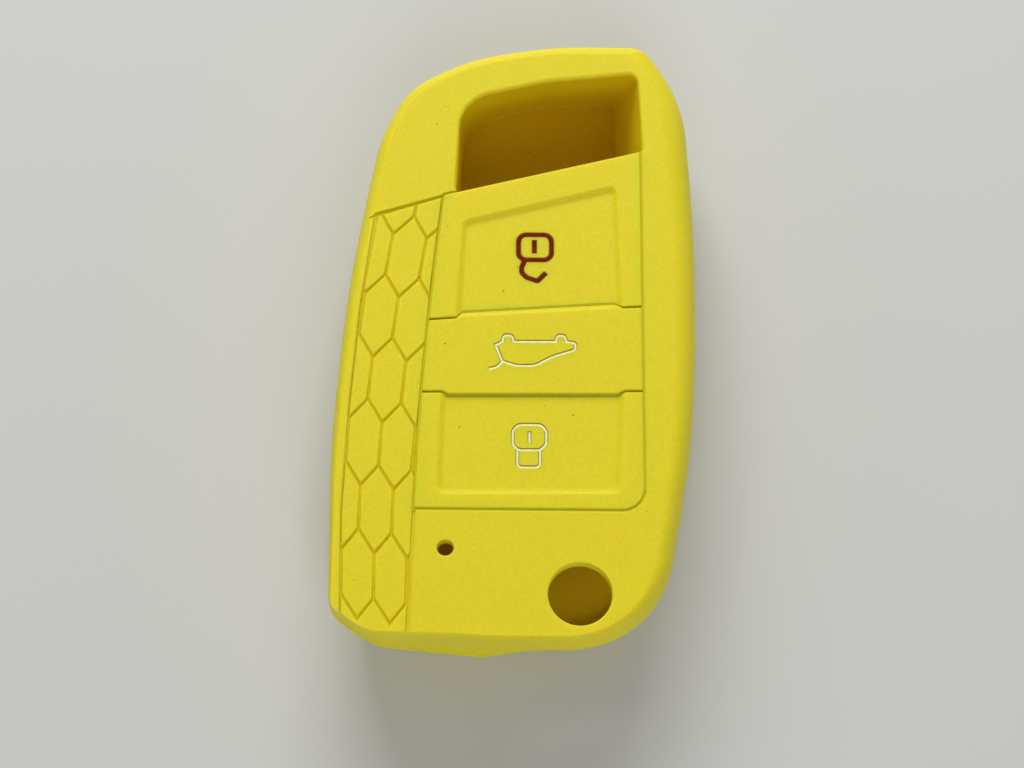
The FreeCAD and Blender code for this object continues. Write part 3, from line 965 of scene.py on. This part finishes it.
# %% Specks
SPECK_SCALE = 600
SPECK_SIZE = 0.055
SPECK_SHARE = 0.16
SPECK_COLOR = (0.10, 0.07, 0.01, 1)


def calculate(tree, operation, first, second):
    """Math node on an output and either a number or another output."""
    step = tree.nodes.new("ShaderNodeMath")
    step.operation = operation
    tree.links.new(first, step.inputs[0])
    if isinstance(second, float):
        step.inputs[1].default_value = second
    else:
        tree.links.new(second, step.inputs[1])
    return step.outputs["Value"]


def specks(tree, color):
    """Lay the specks over a colour."""
    place = tree.nodes.new("ShaderNodeTexCoord")
    points = tree.nodes.new("ShaderNodeTexVoronoi")
    points.inputs["Scale"].default_value = SPECK_SCALE
    tree.links.new(place.outputs["Object"], points.inputs["Vector"])
    channels = tree.nodes.new("ShaderNodeSeparateColor")
    tree.links.new(points.outputs["Color"], channels.inputs["Color"])
    near = calculate(tree, "LESS_THAN", points.outputs["Distance"], SPECK_SIZE)
    few = calculate(tree, "LESS_THAN", channels.outputs["Red"], SPECK_SHARE)
    mix = tree.nodes.new("ShaderNodeMix")
    mix.data_type = "RGBA"
    mix.inputs["B"].default_value = SPECK_COLOR
    tree.links.new(calculate(tree, "MULTIPLY", near, few), mix.inputs["Factor"])
    tree.links.new(color, mix.inputs["A"])
    return mix.outputs["Result"]


# %% [markdown]
# ## Silicone and ink
# The silicone is matte and lets a little light through, which warms its thin edges. Fine grain from the mould,
# clouds in the colour and the specks keep it from looking like paint. The walls inside are painted brighter
# and warmer, a painted glow for light that has bounced between yellow walls, and the back inside is painted
# darker as painted shade. The groove floors and the webs are painted darker, as painted shade in the grooves.
# In the thin webs, light that wanders inside would come out greenish, so there it stays at the surface.

# %% Finishes
def silicone_finish(name, light, dark, depth):
    """Yellow silicone whose colour wavers finely; depth is how far light wanders in it, in millimetres."""
    _, tree, shader = finish_nodes(name, light, roughness=0.55)
    shader.inputs["Subsurface Weight"].default_value = 0.9 if depth else 0
    shader.inputs["Subsurface Radius"].default_value = (1.0, 0.55, 0.06)
    shader.inputs["Subsurface Scale"].default_value = depth * MM
    shader.inputs["Specular IOR Level"].default_value = 0.22
    color = clouds(tree, 2600, 4, dark, light, spread_to=(0.30, 0.70))
    tree.links.new(specks(tree, color), shader.inputs["Base Color"])
    grain(tree, shader, scale=5200, strength=0.25, distance=0.03)


def ink_finish(name, light, dark, shine):
    """Dull ink with an uneven colour; under the clouds lies the middle of the two colours."""
    middle = [(a + b) / 2 for a, b in zip(light, dark)]
    material, tree, shader = finish_nodes(name, middle, roughness=0.6)
    shader.inputs["Specular IOR Level"].default_value = shine
    color = clouds(tree, 1500, 2, dark, light, spread_to=(0.3, 0.7))
    tree.links.new(color, shader.inputs["Base Color"])
    grain(tree, shader, scale=6000, strength=0.3, distance=0.02)
    return material


silicone_finish("matte_silicone", (0.82, 0.715, 0.021), (0.76, 0.655, 0.016), depth=1.3)
# Painted glow: the inner walls are brighter and more orange than the face, for light that bounces inside and
# comes through the walls.
silicone_finish("inner_wall_painted_glow", (0.99, 0.72, 0.004), (0.95, 0.67, 0.003), depth=0.6)
# Painted shade: the back inside is darker and browner than the face.
silicone_finish("inner_back_painted_shade", (0.78, 0.55, 0.003), (0.72, 0.50, 0.002), depth=0.5)
# Painted shade: the groove floors are a little darker than the face.
silicone_finish("groove_painted_shade", (0.79, 0.67, 0.015), (0.73, 0.61, 0.011), depth=0.6)
# Painted shade: the webs under the grooves are darker than the face.
silicone_finish("web_painted_shade", (0.66, 0.54, 0.010), (0.61, 0.49, 0.007), depth=0)
red_ink = ink_finish("ink_red", (0.22, 0.016, 0.003), (0.14, 0.008, 0.002), shine=0.04)
white_ink = ink_finish("ink_white", (0.98, 0.93, 0.70), (0.88, 0.80, 0.50), shine=0.2)
print("finishes:", *finish_names, red_ink.name, white_ink.name)

# %% [markdown]
# The sleeve and the pads already carry their finishes from the cutting, so only the slots that no face uses
# are removed there. The webs and the inks have one finish each.

# %% Giving out the finishes
# The webs take the painted shade of the grooves.
for piece in webs:
    give_finish(piece, WEB)
for piece in (sleeve, unlock_pad, boot_pad, lock_pad, *webs):
    work_on(piece)
    bpy.ops.object.material_slot_remove_unused()
    print(piece.name, [finish.name for finish in piece.data.materials])
for ink, material in zip(inks, (red_ink, white_ink, white_ink)):
    ink.data.materials.clear()
    ink.data.materials.append(material)
    print(ink.name, material.name)

# %% [markdown]
# ## Floor and light
# The cover lies on a plain pale floor. A broad lamp on the side of the window gives the soft light from above
# that the face shows, a weaker one in front lifts the lower band, and the world fills in the rest. Here all
# lengths are in metres.

# %% Floor and light
FLOOR_GAP = 0.00005
clear_selection()
bpy.ops.mesh.primitive_plane_add(size=4, location=(0, 0, -FLOOR_GAP))
floor = bpy.context.object
floor.name = "floor"
floor.data.materials.append(finish_nodes("pale_floor", (0.62, 0.62, 0.60), roughness=0.8)[0])


def lamp(name, place, size, power):
    """Square lamp that faces the cover."""
    clear_selection()
    bpy.ops.object.light_add(type="AREA", location=place)
    light = bpy.context.object
    light.name = name
    light.data.size = size
    light.data.energy = power
    light.rotation_euler = (-Vector(place)).to_track_quat("-Z", "Y").to_euler()
    print(name, power, "W")


lamp("broad_lamp", (-0.05, 0.50, 0.40), size=0.45, power=3.5)
lamp("front_fill", (0.05, -0.48, 0.46), size=0.40, power=1.4)
world = bpy.data.worlds.new("soft_room")
bpy.context.scene.world = world
world.use_nodes = True
background = world.node_tree.nodes["Background"]
background.inputs["Color"].default_value = (1.0, 1.0, 0.98, 1)
background.inputs["Strength"].default_value = 0.27
bpy.context.scene.view_settings.view_transform = "Standard"

# %% [markdown]
# ## Camera
# The cover is seen from above and a little from its lower end, with a slight roll. The three directions of the
# camera are worked out from these two angles and become the columns of its matrix.

# %% Camera
tilt, roll = math.radians(19), math.radians(0.5)
ahead = Vector((0, math.sin(tilt), -math.cos(tilt)))
upright = Vector((0, math.cos(tilt), math.sin(tilt)))
right = Vector((1, 0, 0)) * math.cos(roll) + upright * math.sin(roll)
up = upright * math.cos(roll) - Vector((1, 0, 0)) * math.sin(roll)
bpy.ops.object.camera_add()
camera = bpy.context.object
camera.data.lens = 70.3
camera.data.sensor_width = 36
camera.data.clip_start = 0.01
camera.matrix_world = Matrix((right, up, -ahead)).transposed().to_4x4()
camera.location = Vector((-0.39, -83.88, 239.25)) * MM
bpy.context.scene.camera = camera
print("camera at", [round(v, 4) for v in camera.location])
